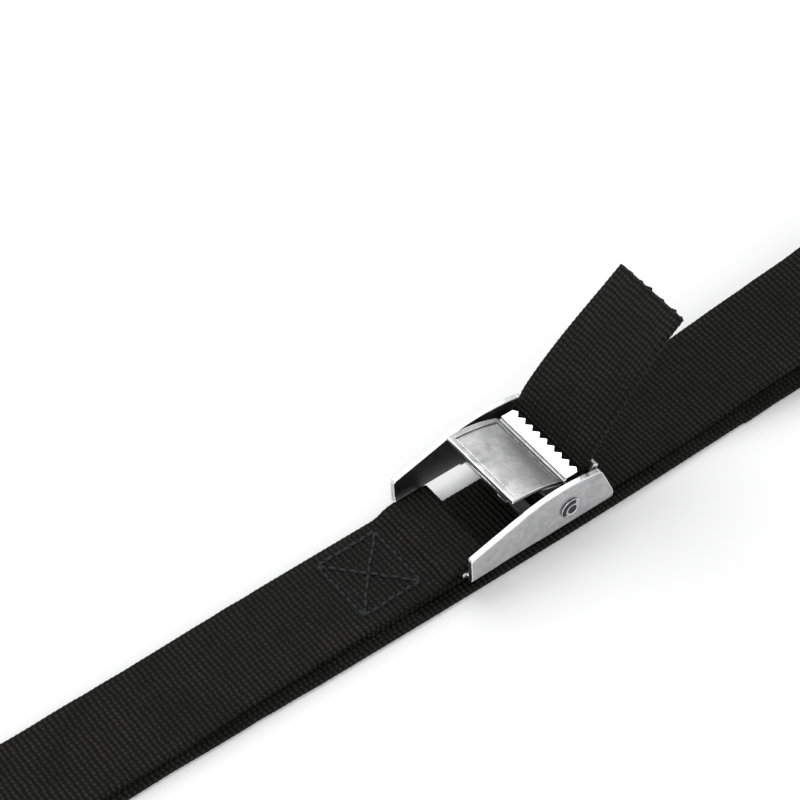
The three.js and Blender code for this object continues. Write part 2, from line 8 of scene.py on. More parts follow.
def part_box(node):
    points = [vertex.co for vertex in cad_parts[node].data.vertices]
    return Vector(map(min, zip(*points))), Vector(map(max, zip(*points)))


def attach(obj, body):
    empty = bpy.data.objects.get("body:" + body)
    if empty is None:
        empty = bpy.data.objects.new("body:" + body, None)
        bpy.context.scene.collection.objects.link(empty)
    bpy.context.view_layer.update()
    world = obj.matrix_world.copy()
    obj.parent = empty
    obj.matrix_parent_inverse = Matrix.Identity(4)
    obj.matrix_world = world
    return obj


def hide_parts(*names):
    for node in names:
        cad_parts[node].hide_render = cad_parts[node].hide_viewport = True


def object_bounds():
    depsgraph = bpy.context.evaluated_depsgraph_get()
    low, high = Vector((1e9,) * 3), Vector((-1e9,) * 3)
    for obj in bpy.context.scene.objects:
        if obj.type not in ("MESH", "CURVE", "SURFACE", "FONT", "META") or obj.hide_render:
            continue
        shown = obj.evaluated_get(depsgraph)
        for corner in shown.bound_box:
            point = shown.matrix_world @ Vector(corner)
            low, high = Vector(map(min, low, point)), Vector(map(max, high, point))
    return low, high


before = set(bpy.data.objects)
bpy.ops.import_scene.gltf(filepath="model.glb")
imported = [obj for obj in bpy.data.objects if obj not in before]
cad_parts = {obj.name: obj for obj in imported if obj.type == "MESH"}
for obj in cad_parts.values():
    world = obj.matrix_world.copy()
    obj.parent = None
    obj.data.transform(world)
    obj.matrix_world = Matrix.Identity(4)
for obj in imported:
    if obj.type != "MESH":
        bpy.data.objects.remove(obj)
cad_low, cad_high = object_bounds()

# ------------------------------------------------------------------ camera
# A long lens looks down on the buckle from the sewn end's near side, rolled a little so that
# the strap climbs across the picture.
MM = 0.001
CAMERA_TARGET = Vector((1.337, 40.71, 0)) * MM
CAMERA_DISTANCE = 600 * MM
CAMERA_AZIMUTH = math.radians(-34.273)
CAMERA_ELEVATION = math.radians(48.213)
CAMERA_ROLL = math.radians(-2.965)
FOCAL_LENGTH = 114.69
SENSOR_WIDTH = 36

away = Vector((
    math.cos(CAMERA_ELEVATION) * math.sin(CAMERA_AZIMUTH),
    -math.cos(CAMERA_ELEVATION) * math.cos(CAMERA_AZIMUTH),
    math.sin(CAMERA_ELEVATION),
))
level = (-away).cross(Vector((0, 0, 1))).normalized()
upward = level.cross(-away)
right = math.cos(CAMERA_ROLL) * level + math.sin(CAMERA_ROLL) * upward
above = math.cos(CAMERA_ROLL) * upward - math.sin(CAMERA_ROLL) * level
lens = bpy.data.cameras.new("camera")
lens.lens = FOCAL_LENGTH
lens.sensor_width = SENSOR_WIDTH
lens.clip_start = 10 * MM
camera = bpy.data.objects.new("camera", lens)
bpy.context.scene.collection.objects.link(camera)
camera.matrix_world = (
    Matrix.Translation(CAMERA_TARGET + CAMERA_DISTANCE * away)
    @ Matrix((right, above, away)).transposed().to_4x4()
)
bpy.context.scene.camera = camera

# ------------------------------------------------------------------ floor and lights
# A plain pale table top, a bright room round it, and two large soft lights overhead.
FLOOR_DROP = 0.1 * MM
FLOOR_SIDE = 6.0
FLOOR_COLOUR = (0.93, 0.93, 0.935, 1)
ROOM_COLOUR = (1, 1, 1, 1)
ROOM_STRENGTH = 0.76


def put(tree, kind, inputs=(), **settings):
    """A new shader node. Each of its inputs gets a value, or a link from another node's socket."""
    node = tree.nodes.new("ShaderNode" + kind)
    for name, value in settings.items():
        setattr(node, name, value)
    for socket, value in dict(inputs).items():
        if isinstance(value, bpy.types.NodeSocket):
            tree.links.new(value, node.inputs[socket])
        else:
            node.inputs[socket].default_value = value
    return node


def new_material(name, **constants):
    """A material with a Principled shader, whose constant sockets are set here."""
    material = bpy.data.materials.new(name)
    material.use_nodes = True
    shader = material.node_tree.nodes["Principled BSDF"]
    for socket, value in constants.items():
        shader.inputs[socket.replace("_", " ")].default_value = value
    return material, material.node_tree, shader


def soft_light(name, place, aim, size, power):
    """A square soft light at a place, facing a point."""
    lamp = bpy.data.lights.new(name, "AREA")
    lamp.size = size
    lamp.energy = power
    obj = bpy.data.objects.new(name, lamp)
    bpy.context.scene.collection.objects.link(obj)
    obj.location = place
    obj.rotation_euler = (Vector(aim) - Vector(place)).to_track_quat("-Z", "Y").to_euler()
    return obj


bpy.ops.object.select_all(action="DESELECT")
bpy.ops.mesh.primitive_plane_add(size=FLOOR_SIDE, location=(0, 0, cad_low.z - FLOOR_DROP))
floor = bpy.context.object
floor.name = "floor"
table_top, tree, shader = new_material("table_top", Roughness=0.6)
cloudy = put(tree, "TexNoise", {"Scale": 3.0, "Detail": 2.0})
tone = put(tree, "MapRange", {"Value": cloudy.outputs["Fac"], "To Min": 0.97, "To Max": 1.03})
pale = put(tree, "HueSaturation", {"Value": tone.outputs["Result"], "Color": FLOOR_COLOUR})
tree.links.new(pale.outputs["Color"], shader.inputs["Base Color"])
floor.data.materials.append(table_top)

room = bpy.data.worlds.new("room")
room.use_nodes = True
room.node_tree.nodes["Background"].inputs["Color"].default_value = ROOM_COLOUR
room.node_tree.nodes["Background"].inputs["Strength"].default_value = ROOM_STRENGTH
bpy.context.scene.world = room
soft_light("light_behind", (0.2, 0.72, 1.0), (0, 0, 0), size=1.0, power=6.4)
soft_light("light_front", (-0.5, -0.75, 1.0), (0, 0, 0), size=0.8, power=3.2)
bpy.context.scene.view_settings.view_transform = "Standard"

# ------------------------------------------------------------------ buckle frame
# The frame is one blank of sheet steel, pressed and folded into a channel, then zinc plated.
# Its edges are rolled a little by the press and rub bright.
FRAME_EDGE = 0.24 * MM
EDGE_ANGLE = math.radians(33)
SMOOTH_ANGLE = math.radians(28)
ROUND_ANGLE = math.radians(50)
JOIN_DISTANCE = 0.002 * MM
FLAT_ANGLE = math.radians(0.2)
FLANGE_FROM = 13.3 * MM
FLANGE_TOPS_ABOVE = 8 * MM


def alone(obj):
    """Makes this the one selected object."""
    bpy.ops.object.select_all(action="DESELECT")
    obj.select_set(True)
    bpy.context.view_layer.objects.active = obj


def selected_faces(obj, wanted):
    """Opens an object in edit mode with only the faces selected that pass a test."""
    alone(obj)
    bpy.ops.object.mode_set(mode="EDIT")
    bpy.ops.mesh.select_mode(type="FACE")
    bpy.ops.mesh.select_all(action="DESELECT")
    cage = bmesh.from_edit_mesh(obj.data)
    for face in cage.faces:
        face.select_set(wanted(face))
    bmesh.update_edit_mesh(obj.data)


def weigh_outer_edges(obj):
    """Gives full bevel weight to the sharp edges that stick out, and none to inner corners."""
    cage = bmesh.new()
    cage.from_mesh(obj.data)
    weight = cage.edges.layers.float.new("bevel_weight_edge")
    for edge in cage.edges:
        if len(edge.link_faces) == 2 and edge.calc_face_angle_signed() > EDGE_ANGLE:
            edge[weight] = 1.0
    cage.to_mesh(obj.data)
    cage.free()


def mark_faces(obj, name, amount):
    """Writes an amount for each face, worked out from the face, into a corner attribute."""
    mesh = obj.data
    marks = mesh.attributes.get(name) or mesh.attributes.new(name, "FLOAT", "CORNER")
    for face in mesh.polygons:
        value = amount(face)
        for corner in face.loop_indices:
            marks.data[corner].value = max(marks.data[corner].value, value)


def broken_edges(obj, width, segments=2):
    """Rounds the outer sharp edges, and marks the rounded faces as edge wear in the attribute
    edge_wear_and_highlight.

    The attribute painted_shade, which darkens faces as painted shade, starts at nothing everywhere. It can
    be raised later.
    """
    weigh_outer_edges(obj)
    alone(obj)
    obj.data.materials.clear()
    obj.data.materials.append(None)
    obj.data.materials.append(None)
    bevel = obj.modifiers.new("edges", "BEVEL")
    bevel.width = width
    bevel.segments = segments
    bevel.limit_method = "WEIGHT"
    bevel.use_clamp_overlap = False
    bevel.material = 1
    bpy.ops.object.modifier_apply(modifier=bevel.name)
    mark_faces(obj, "edge_wear_and_highlight", lambda face: float(face.material_index == 1))
    mark_faces(obj, "painted_shade", lambda face: 0.0)
    for face in obj.data.polygons:
        face.material_index = 0
    obj.data.materials.clear()


def smooth(obj, angle):
    """Smooth shading up to an angle, led by the larger faces so that flats look flat."""
    alone(obj)
    bpy.ops.object.shade_smooth_by_angle(angle=angle)
    weighted = obj.modifiers.new("flat_faces", "WEIGHTED_NORMAL")
    weighted.keep_sharp = True
    weighted.weight = 100
    bpy.ops.object.modifier_apply(modifier=weighted.name)


def refined(node, name, edge):
    """A clean copy of a CAD node's mesh, its faces joined up and its edges broken."""
    obj = bpy.data.objects.new(name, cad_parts[node].data.copy())
    bpy.context.scene.collection.objects.link(obj)
    alone(obj)
    bpy.ops.object.mode_set(mode="EDIT")
    bpy.ops.mesh.select_all(action="SELECT")
    bpy.ops.mesh.remove_doubles(threshold=JOIN_DISTANCE)
    bpy.ops.mesh.dissolve_limited(angle_limit=FLAT_ANGLE)
    bpy.ops.object.mode_set(mode="OBJECT")
    broken_edges(obj, edge)
    smooth(obj, SMOOTH_ANGLE)
    return obj


def metal_surface():
    """The mottling, grain, pits, edge wear with painted highlights, and painted shade that the plated
    metals share.
    """
    group = bpy.data.node_groups.new("plated_metal", "ShaderNodeTree")
    sockets = group.interface
    for name, value in (("Mottle Size", 2.0), ("Grain Size", 0.15), ("Pit Size", 0.9), ("Seed", 0.0)):
        socket = sockets.new_socket(name, in_out="INPUT", socket_type="NodeSocketFloat")
        socket.default_value = value
    for name in ("Mottle", "Grain", "Pits", "Wear And Highlight", "Painted Shade"):
        sockets.new_socket(name, in_out="OUTPUT", socket_type="NodeSocketFloat")
    outer = group.nodes.new("NodeGroupInput")
    inner = group.nodes.new("NodeGroupOutput")
    place = put(group, "TexCoord").outputs["Object"]

    def per_metre(name):
        return put(group, "Math", {0: 1 / MM, 1: outer.outputs[name]}, operation="DIVIDE").outputs[0]

    mottle = put(group, "TexNoise", {
        "Vector": place, "W": outer.outputs["Seed"], "Scale": per_metre("Mottle Size"),
        "Detail": 5.0, "Roughness": 0.62, "Distortion": 0.6,
    }, noise_dimensions="4D")
    grain = put(group, "TexNoise", {
        "Vector": place, "W": outer.outputs["Seed"], "Scale": per_metre("Grain Size"), "Detail": 3.0,
    }, noise_dimensions="4D")
    pit = put(group, "TexVoronoi", {
        "Vector": place, "W": outer.outputs["Seed"], "Scale": per_metre("Pit Size"), "Randomness": 1.0,
    }, voronoi_dimensions="4D")
    pits = put(group, "MapRange", {
        "Value": pit.outputs["Distance"], "From Min": 0.10, "From Max": 0.20, "To Min": 1.0, "To Max": 0.0,
    })
    spread = put(group, "MapRange", {"Value": mottle.outputs["Fac"], "From Min": 0.32, "From Max": 0.68})
    # Edge wear and the painted highlight on the flange tops share one attribute.
    edge = put(group, "Attribute", attribute_name="edge_wear_and_highlight")
    edge_patches = put(group, "MapRange", {
        "Value": mottle.outputs["Fac"], "From Min": 0.3, "From Max": 0.55, "To Min": 0.55, "To Max": 1.0,
    })
    wear_and_highlight = put(group, "Math", {0: edge.outputs["Fac"], 1: edge_patches.outputs["Result"]}, operation="MULTIPLY")
    # The painted_shade attribute marks painted shade; the grain breaks it up a little.
    shade_marks = put(group, "Attribute", attribute_name="painted_shade")
    shade_breakup = put(group, "MapRange", {"Value": grain.outputs["Fac"], "From Min": 0.2, "To Min": 0.6})
    painted_shade = put(group, "Math", {0: shade_marks.outputs["Fac"], 1: shade_breakup.outputs["Result"]}, operation="MULTIPLY")
    for name, source in (
        ("Painted Shade", painted_shade.outputs[0]), ("Mottle", spread.outputs["Result"]), ("Grain", grain.outputs["Fac"]),
        ("Pits", pits.outputs["Result"]), ("Wear And Highlight", wear_and_highlight.outputs[0]),
    ):
        group.links.new(source, inner.inputs[name])
    return group


plated_metal = metal_surface()


def metal_material(name, dull, bright, edge, rough, rough_spread, bump, mottle_size, seed, pit_depth=0.35):
    """A metal that runs from dull to bright with its mottling, to its edge colour at edge wear and at
    painted highlights, and darkens in its pits and under painted shade.
    """
    material, tree, shader = new_material(name, Metallic=1.0)
    surface = tree.nodes.new("ShaderNodeGroup")
    surface.node_tree = plated_metal
    surface.inputs["Mottle Size"].default_value = mottle_size
    surface.inputs["Seed"].default_value = seed
    body = put(tree, "Mix", data_type="RGBA")
    # On a colour mix the sockets in use are numbers 0, 6 and 7, with output 2.
    tree.links.new(surface.outputs["Mottle"], body.inputs[0])
    body.inputs[6].default_value = (*dull, 1)
    body.inputs[7].default_value = (*bright, 1)
    # Pits and painted shade both darken the colour.
    pitted_and_shaded = put(tree, "Mix", data_type="RGBA")
    pit_share = put(tree, "Math", {0: surface.outputs["Pits"], 1: pit_depth}, operation="MULTIPLY")
    pits_and_shade = put(tree, "Math", {
        0: pit_share.outputs[0], 1: surface.outputs["Painted Shade"],
    }, operation="ADD", use_clamp=True)
    tree.links.new(pits_and_shade.outputs[0], pitted_and_shaded.inputs[0])
    tree.links.new(body.outputs[2], pitted_and_shaded.inputs[6])
    pitted_and_shaded.inputs[7].default_value = (*[0.12 * c for c in dull], 1)
    worn_and_lit = put(tree, "Mix", data_type="RGBA")
    tree.links.new(surface.outputs["Wear And Highlight"], worn_and_lit.inputs[0])
    tree.links.new(pitted_and_shaded.outputs[2], worn_and_lit.inputs[6])
    worn_and_lit.inputs[7].default_value = (*edge, 1)
    tree.links.new(worn_and_lit.outputs[2], shader.inputs["Base Color"])
    roughness = put(tree, "MapRange", {
        "Value": surface.outputs["Mottle"], "To Min": rough + rough_spread, "To Max": rough - rough_spread,
    })
    smooth_edge = put(tree, "Mix", {0: surface.outputs["Wear And Highlight"], 2: roughness.outputs["Result"], 3: 0.2})
    tree.links.new(smooth_edge.outputs[0], shader.inputs["Roughness"])
    height = put(tree, "Math", {
        0: surface.outputs["Grain"], 1: surface.outputs["Mottle"],
    }, operation="ADD")
    sunk = put(tree, "Math", {0: height.outputs[0], 1: surface.outputs["Pits"]}, operation="SUBTRACT")
    relief = put(tree, "Bump", {"Height": sunk.outputs[0], "Strength": bump, "Distance": 0.03 * MM})
    tree.links.new(relief.outputs["Normal"], shader.inputs["Normal"])
    return material


# The edge colour serves edge wear and the painted highlight on the flange tops.
satin_zinc = metal_material(
    "satin_zinc_plate", dull=(0.40, 0.40, 0.405), bright=(0.55, 0.55, 0.555), edge=(0.93, 0.93, 0.94),
    rough=0.36, rough_spread=0.08, bump=0.6, mottle_size=2.2, seed=1.0, pit_depth=0.6,
)
buckle_frame = refined("buckle_frame", "pressed_frame", FRAME_EDGE)


def flange_top_painted_highlight(face):
    """The upper faces of the flanges are painted bright as a highlight."""
    upward = face.normal.z > 0.5 and abs(face.normal.y) < 0.1
    on_flange = abs(face.center.y) > FLANGE_FROM and face.center.z > FLANGE_TOPS_ABOVE
    return 0.85 if upward and on_flange else 0.0


def flange_inner_painted_shade(face):
    """The flanges' inner sides, facing each other across the channel, are darkened as painted shade."""
    inward = face.normal.y * face.center.y < 0 and abs(face.normal.y) > 0.9
    return 0.8 if inward and abs(face.center.y) > FLANGE_FROM else 0.0


# Painted highlight: the flange tops take the bright edge colour.
mark_faces(buckle_frame, "edge_wear_and_highlight", flange_top_painted_highlight)
# Painted shade on the flanges' inner sides.
mark_faces(buckle_frame, "painted_shade", flange_inner_painted_shade)
buckle_frame.data.materials.append(satin_zinc)
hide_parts("buckle_frame")
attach(buckle_frame, "strap_and_frame")

# ------------------------------------------------------------------ pivot rivet
# A steel rivet runs through both flanges and carries the lever. Its shank is closed over at
# each end into a low dome with a dimple in the middle.
HEAD_RADIUS = 2.75 * MM
HEAD_HEIGHT = 0.8 * MM
DIMPLE_RADIUS = 1.3 * MM
DIMPLE_DEPTH = 0.45 * MM
SHANK_RADIUS = 1.6 * MM
RIVET_EDGE = 0.12 * MM
# How dark the painted shade on the rivet heads is.
RIVET_PAINTED_SHADE = 2.0
# The steps of a head from its rim inwards: how wide each is, and how far out it goes.
HEAD_STEPS = (
    (0.18 * HEAD_RADIUS, 0.30 * HEAD_HEIGHT),
    (0.18 * HEAD_RADIUS, 0.15 * HEAD_HEIGHT),
    (0.64 * HEAD_RADIUS - DIMPLE_RADIUS, 0.05 * HEAD_HEIGHT),
    (0.18 * DIMPLE_RADIUS, -0.75 * DIMPLE_DEPTH),
    (0.35 * DIMPLE_RADIUS, -0.25 * DIMPLE_DEPTH),
)
rivet_low, rivet_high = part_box("pivot_rivet")
pivot = (rivet_low + rivet_high) / 2


def rivet_head(side):
    """One head: a disc whose outer face is raised into a dome and then sunk into a dimple."""
    outer_face = rivet_high.y if side > 0 else rivet_low.y
    bpy.ops.object.select_all(action="DESELECT")
    bpy.ops.mesh.primitive_cylinder_add(
        vertices=48, radius=HEAD_RADIUS, depth=HEAD_HEIGHT / 2,
        location=(pivot.x, outer_face - side * 0.75 * HEAD_HEIGHT, pivot.z),
        rotation=(math.pi / 2, 0, 0),
    )
    head = bpy.context.object
    bpy.ops.object.transform_apply(location=True, rotation=True, scale=True)
    selected_faces(head, lambda face: face.normal.y * side > 0.9)
    for width, rise in HEAD_STEPS:
        bpy.ops.mesh.inset(thickness=width)
        bpy.ops.transform.translate(value=(0, side * rise, 0))
    bpy.ops.object.mode_set(mode="OBJECT")
    return head


heads = [rivet_head(-1), rivet_head(1)]
bpy.ops.object.select_all(action="DESELECT")
bpy.ops.mesh.primitive_cylinder_add(
    vertices=48, radius=SHANK_RADIUS, depth=rivet_high.y - rivet_low.y - 1.5 * HEAD_HEIGHT,
    location=pivot, rotation=(math.pi / 2, 0, 0),
)
rivet = bpy.context.object
rivet.name = "rivet"
bpy.ops.object.transform_apply(location=True, rotation=True, scale=True)
for head in heads:
    head.select_set(True)
bpy.ops.object.join()
broken_edges(rivet, RIVET_EDGE)
smooth(rivet, ROUND_ANGLE)


def rivet_painted_shade(face):
    """Painted shade lies in the dimples and on the upper left of each head's rim."""
    out = Vector((face.center.x - pivot.x, face.center.z - pivot.z))
    if out.length < DIMPLE_RADIUS:
        return RIVET_PAINTED_SHADE
    shaded = (out.y - out.x) / max(out.length, MM) > 0.4
    return RIVET_PAINTED_SHADE if out.length > 0.7 * HEAD_RADIUS and shaded else 0.0


mark_faces(rivet, "painted_shade", rivet_painted_shade)
rivet_steel = metal_material(
    "rivet_steel", dull=(0.40, 0.40, 0.41), bright=(0.62, 0.62, 0.63), edge=(0.8, 0.8, 0.81),
    rough=0.32, rough_spread=0.08, bump=0.5, mottle_size=1.2, seed=5.0,
)
rivet.data.materials.append(rivet_steel)
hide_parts("pivot_rivet")
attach(rivet, "strap_and_frame")

# ------------------------------------------------------------------ cam lever
# The lever is one zinc casting, nickel plated: a thumb panel with a sunk middle, a groove,
# and the toothed strip that bites the webbing.
LEVER_EDGE = 0.22 * MM
GROOVE_X = pivot.x + 0.55 * MM
GROOVE_HALF = 0.42 * MM
POCKET_HALF = 10.6 * MM
LEVER_TOP = pivot.z + 2 * MM
pocket_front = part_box("cam_lever")[0].x + 0.5 * MM
# The strip and the panel share one plating: the strip takes a lighter copy as painted highlight, the panel
# a darker, rougher copy as painted shade.
lit_nickel = metal_material(
    "lit_nickel", dull=(0.60, 0.60, 0.61), bright=(0.80, 0.80, 0.81), edge=(0.97, 0.97, 0.97),
    rough=0.26, rough_spread=0.08, bump=0.6, mottle_size=2.6, seed=9.0, pit_depth=0.25,
)
shaded_nickel = metal_material(
    "shaded_nickel", dull=(0.34, 0.34, 0.345), bright=(0.56, 0.56, 0.565), edge=(0.97, 0.97, 0.97),
    rough=0.45, rough_spread=0.09, bump=0.7, mottle_size=3.2, seed=9.0, pit_depth=0.4,
)
cam_lever = refined("cam_lever", "thumb_lever", LEVER_EDGE)


def lever_painted_shade(face):
    """Painted shade lies in the groove and round the foot of the pocket's walls."""
    place, facing = face.center, face.normal
    if place.z < LEVER_TOP:
        return 0.0
    if abs(place.x - GROOVE_X) < GROOVE_HALF and abs(facing.y) < 0.5:
        return 0.9
    in_pocket = abs(place.y) < POCKET_HALF and pocket_front < place.x < GROOVE_X
    inward = facing.y * place.y < 0 or abs(facing.x) > 0.5
    return 0.8 if in_pocket and inward and abs(facing.z) < 0.6 else 0.0


mark_faces(cam_lever, "painted_shade", lever_painted_shade)
cam_lever.data.materials.append(shaded_nickel)
cam_lever.data.materials.append(lit_nickel)
# Faces past the groove, on the toothed strip, take the lighter copy; the panel takes the darker one.
for face in cam_lever.data.polygons:
    face.material_index = int(face.center.x > GROOVE_X)
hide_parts("cam_lever")
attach(cam_lever, "lever")

# ------------------------------------------------------------------ return spring
# A torsion spring of drawn wire is wound on the rivet between the lever's ears. One leg
# presses on the cross bar, the other lifts the thumb panel and turns with it.
WIRE = 0.55 * MM
COIL_PITCH = 0.72 * MM
COIL_TURNS = 7
COIL_RADIUS = 1.995 * MM
LOW_LEG = 7.4 * MM
LOW_LEAN = math.radians(14.37)
HIGH_LEG = 8.4 * MM
HIGH_LEAN = math.radians(146.5)
LEG_WIRE = 0.98 * WIRE
STEPS_PER_TURN = 24
LAST_ARC = math.radians(38.5)
ARC_STEPS = 8
sweep = HIGH_LEAN - LOW_LEAN + 2 * math.pi * COIL_TURNS
coil_from = LOW_LEAN - math.pi / 2


def coil_point(turned):
    """The wire's centre once it has turned this far round the rivet."""
    angle = coil_from + turned
    return pivot + Vector((
        COIL_RADIUS * math.cos(angle),
        COIL_PITCH * (turned - sweep / 2) / (2 * math.pi),
        COIL_RADIUS * math.sin(angle),
    ))


def wire_piece(name, points, radius):
    """A round wire along a line of points, made a mesh, with its ends closed."""
    line = bpy.data.curves.new(name, "CURVE")
    line.dimensions = "3D"
    line.bevel_depth = radius
    line.bevel_resolution = 2
    line.use_fill_caps = True
    spline = line.splines.new("POLY")
    spline.points.add(len(points) - 1)
    for point, place in zip(spline.points, points):
        point.co = (*place, 1)
    obj = bpy.data.objects.new(name, line)
    bpy.context.scene.collection.objects.link(obj)
    alone(obj)
    bpy.ops.object.convert(target="MESH")
    bpy.ops.object.shade_smooth_by_angle(angle=ROUND_ANGLE)
    return bpy.context.object


low_way = Vector((-math.cos(LOW_LEAN), 0, -math.sin(LOW_LEAN)))
high_way = Vector((math.cos(HIGH_LEAN), 0, math.sin(HIGH_LEAN)))
coil_steps = STEPS_PER_TURN * COIL_TURNS
coil_line = [coil_point(sweep * i / coil_steps) for i in range(coil_steps + 1)]
spring_coil = wire_piece("spring_coil", [coil_point(0) + LOW_LEG * low_way, *coil_line], WIRE / 2)
last_arc = [coil_point(sweep - LAST_ARC * (1 - i / ARC_STEPS)) for i in range(ARC_STEPS + 1)]
spring_leg = wire_piece("spring_leg", [*last_arc, last_arc[-1] + HIGH_LEG * high_way], LEG_WIRE / 2)
spring_wire = metal_material(
    "drawn_wire", dull=(0.38, 0.38, 0.39), bright=(0.52, 0.52, 0.53), edge=(0.6, 0.6, 0.6),
    rough=0.3, rough_spread=0.05, bump=0.3, mottle_size=0.8, seed=3.0,
)
for piece, body in ((spring_coil, "strap_and_frame"), (spring_leg, "lever")):
    piece.data.materials.append(spring_wire)
    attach(piece, body)
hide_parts("return_spring")

# ------------------------------------------------------------------ webbing
# One strap of black ribbed webbing. Its folded end is sewn round the anchor strip, it runs out
# and back as a long loop that arches beyond the cam, and its free end comes up past the teeth.
WEB_WIDTH = 25 * MM
WEB_THICK = 1.3 * MM
GAP = 0.3 * MM
RIB_PITCH = 1.3 * MM
STEPS_PER_RIB = 4
FACE_COLUMNS = 20
PLAIN_COLUMNS = 4
RIB_DEPTH = 0.17 * MM
ZIGZAG = 0.17 * MM
SELVEDGE_ROUND = 0.3 * MM
SCALLOP = 0.34 * MM
SLOW_SWAY = 0.25 * MM
QUICK_SWAY = 0.08 * MM
SWAY_FROM = 60 * MM
PLUCK = 0.03 * MM
FRAY = 0.3 * MM
FREE_END = 75 * MM
UNDER_BUCKLE = 34 * MM
LOWER_PLY = (300 * MM, 700 * MM)
SHEET = 1.5 * MM
SEWN_END = 32.2 * MM
ANCHOR_RIGHT = -13.8 * MM
ANVIL_LEFT = 7.35 * MM
ANVIL_BEND = 3.4 * MM
WRAP_RADIUS = SHEET / 2 + GAP + WEB_THICK / 2
EYE_STEP_RADIUS = 6 * MM
CUT_STEP_RADIUS = 3000 * MM
FOLD_RADIUS = 1.1 * MM
FOLD_EASING = 14 * MM
LOWER_DRIFT = -3 * MM
FAR_DRIFT = -2.2 * MM
FAR_DRIFT_X = 80.05 * MM
ARCH_RISE = 13 * MM
ARCH_FOOT = 38 * MM
ARCH_LEVEL = 15 * MM
ARCH_LEAN = math.radians(11)
ARCH_RADIUS = 60 * MM
ARCH_ROLL = math.radians(8)
ARCH_ROLL_RISE = 8 * MM
WALL_LEAN = math.radians(64.2)
TAIL_LENGTH = 37.7 * MM
TAIL_LEAN = math.radians(49)
TAIL_LEAN_RADIUS = 12 * MM
TAIL_TIP_LEAN = math.radians(37.5)
TAIL_TWIST = math.radians(12)

loop_low, loop_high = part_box("webbing_loop")
cam_run_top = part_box("webbing_cam_run")[1].z
frame_low, frame_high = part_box("buckle_frame")
ply = WEB_THICK + GAP
lower_z = WEB_THICK / 2
upper_z = lower_z + ply
left_fold = loop_low.x + WEB_THICK / 2 + FOLD_RADIUS
right_fold = loop_high.x - WEB_THICK / 2 - FOLD_RADIUS
anchor_left = frame_low.x + SHEET / 2
cut_end = ANCHOR_RIGHT - SEWN_END

legs = []
at = {"x": cut_end, "z": upper_z, "y": 0.0, "heading": 0.0}


def lay(length, turn=0.0, y=None):
    """Pays out webbing, straight or bending left by turn, easing sideways to y."""
    start = dict(at)
    y = at["y"] if y is None else y
    legs.append((start, length, turn, y))
    at.update(place_on(legs[-1], length))


def place_on(leg, along):
    """The place and heading this far along a leg."""
    start, length, turn, y_end = leg
    heading = start["heading"] + turn * along / length
    if turn:
        radius = length / turn
        x = start["x"] + radius * (math.sin(heading) - math.sin(start["heading"]))
        z = start["z"] - radius * (math.cos(heading) - math.cos(start["heading"]))
    else:
        x = start["x"] + along * math.cos(heading)
        z = start["z"] + along * math.sin(heading)
    t = along / length
    y = start["y"] + (y_end - start["y"]) * t * t * (3 - 2 * t)
    return {"x": x, "z": z, "y": y, "heading": heading}


def lay_to(x, y=None):
    lay(abs(x - at["x"]), 0.0, y)


def fold(angle, radius):
    lay(abs(angle) * radius, angle)


def step_over(offset, radius):
    """Two equal bends that carry the webbing to its left by offset."""
    angle = math.copysign(math.acos(1 - abs(offset) / (2 * radius)), offset)
    fold(angle, radius)
    fold(-angle, radius)


def ramp(side, y=None):
    """Half of the arch: a bend, a straight slope that may drift to y, and the bend back."""
    fold(side * ARCH_LEAN, ARCH_RADIUS)
    lay(arch_slope, 0.0, y)
    fold(-side * ARCH_LEAN, ARCH_RADIUS)


fold_top = lower_z + 2 * FOLD_RADIUS
arch_slope = (ARCH_RISE - 2 * ARCH_RADIUS * (1 - math.cos(ARCH_LEAN))) / math.sin(ARCH_LEAN)
arch_run = 2 * ARCH_RADIUS * math.sin(ARCH_LEAN) + arch_slope * math.cos(ARCH_LEAN)
ease_angle = math.acos(1 - (fold_top - upper_z) / (2 * FOLD_EASING))
ease_run = 2 * FOLD_EASING * math.sin(ease_angle)
lay_to(ANCHOR_RIGHT)
fold(math.pi, WRAP_RADIUS)
lay_to(anchor_left - SHEET)
step_over(2 * WRAP_RADIUS - ply, EYE_STEP_RADIUS)
lay_to(cut_end - SHEET / 2)
step_over(ply, CUT_STEP_RADIUS)
lay_to(left_fold + ease_run)
step_over(upper_z - fold_top, FOLD_EASING)
fold(math.pi, FOLD_RADIUS)
lay_to(pivot.x, LOWER_DRIFT)
lay_to(FAR_DRIFT_X, FAR_DRIFT)
lay_to(right_fold)
fold(math.pi, FOLD_RADIUS)
step_over(fold_top - upper_z, FOLD_EASING)
lay_to(ARCH_FOOT + 2 * arch_run + ARCH_LEVEL)
ramp(-1)
lay_to(ARCH_FOOT + arch_run)
ramp(1, 0.0)
lay_to(ANVIL_LEFT)
fold(-math.pi, WRAP_RADIUS)
lay_to(pivot.x)
fold(WALL_LEAN, ANVIL_BEND)
lay((cam_run_top - WEB_THICK / 2 * math.cos(WALL_LEAN) - at["z"]) / math.sin(WALL_LEAN))
tail_from = sum(leg[1] for leg in legs)
fold(TAIL_LEAN - WALL_LEAN, TAIL_LEAN_RADIUS)
lean_run = (WALL_LEAN - TAIL_LEAN) * TAIL_LEAN_RADIUS
lay(TAIL_LENGTH - lean_run, TAIL_TIP_LEAN - TAIL_LEAN)
total = sum(leg[1] for leg in legs)


def station_places(step):
    """Places at equal steps along the whole strap."""
    places = []
    begun = 0.0
    index = 0
    count = int(total / step)
    for i in range(count + 1):
        along = i * step
        while index < len(legs) - 1 and along > begun + legs[index][1]:
            begun += legs[index][1]
            index += 1
        places.append(place_on(legs[index], min(along - begun, legs[index][1])))
    return places


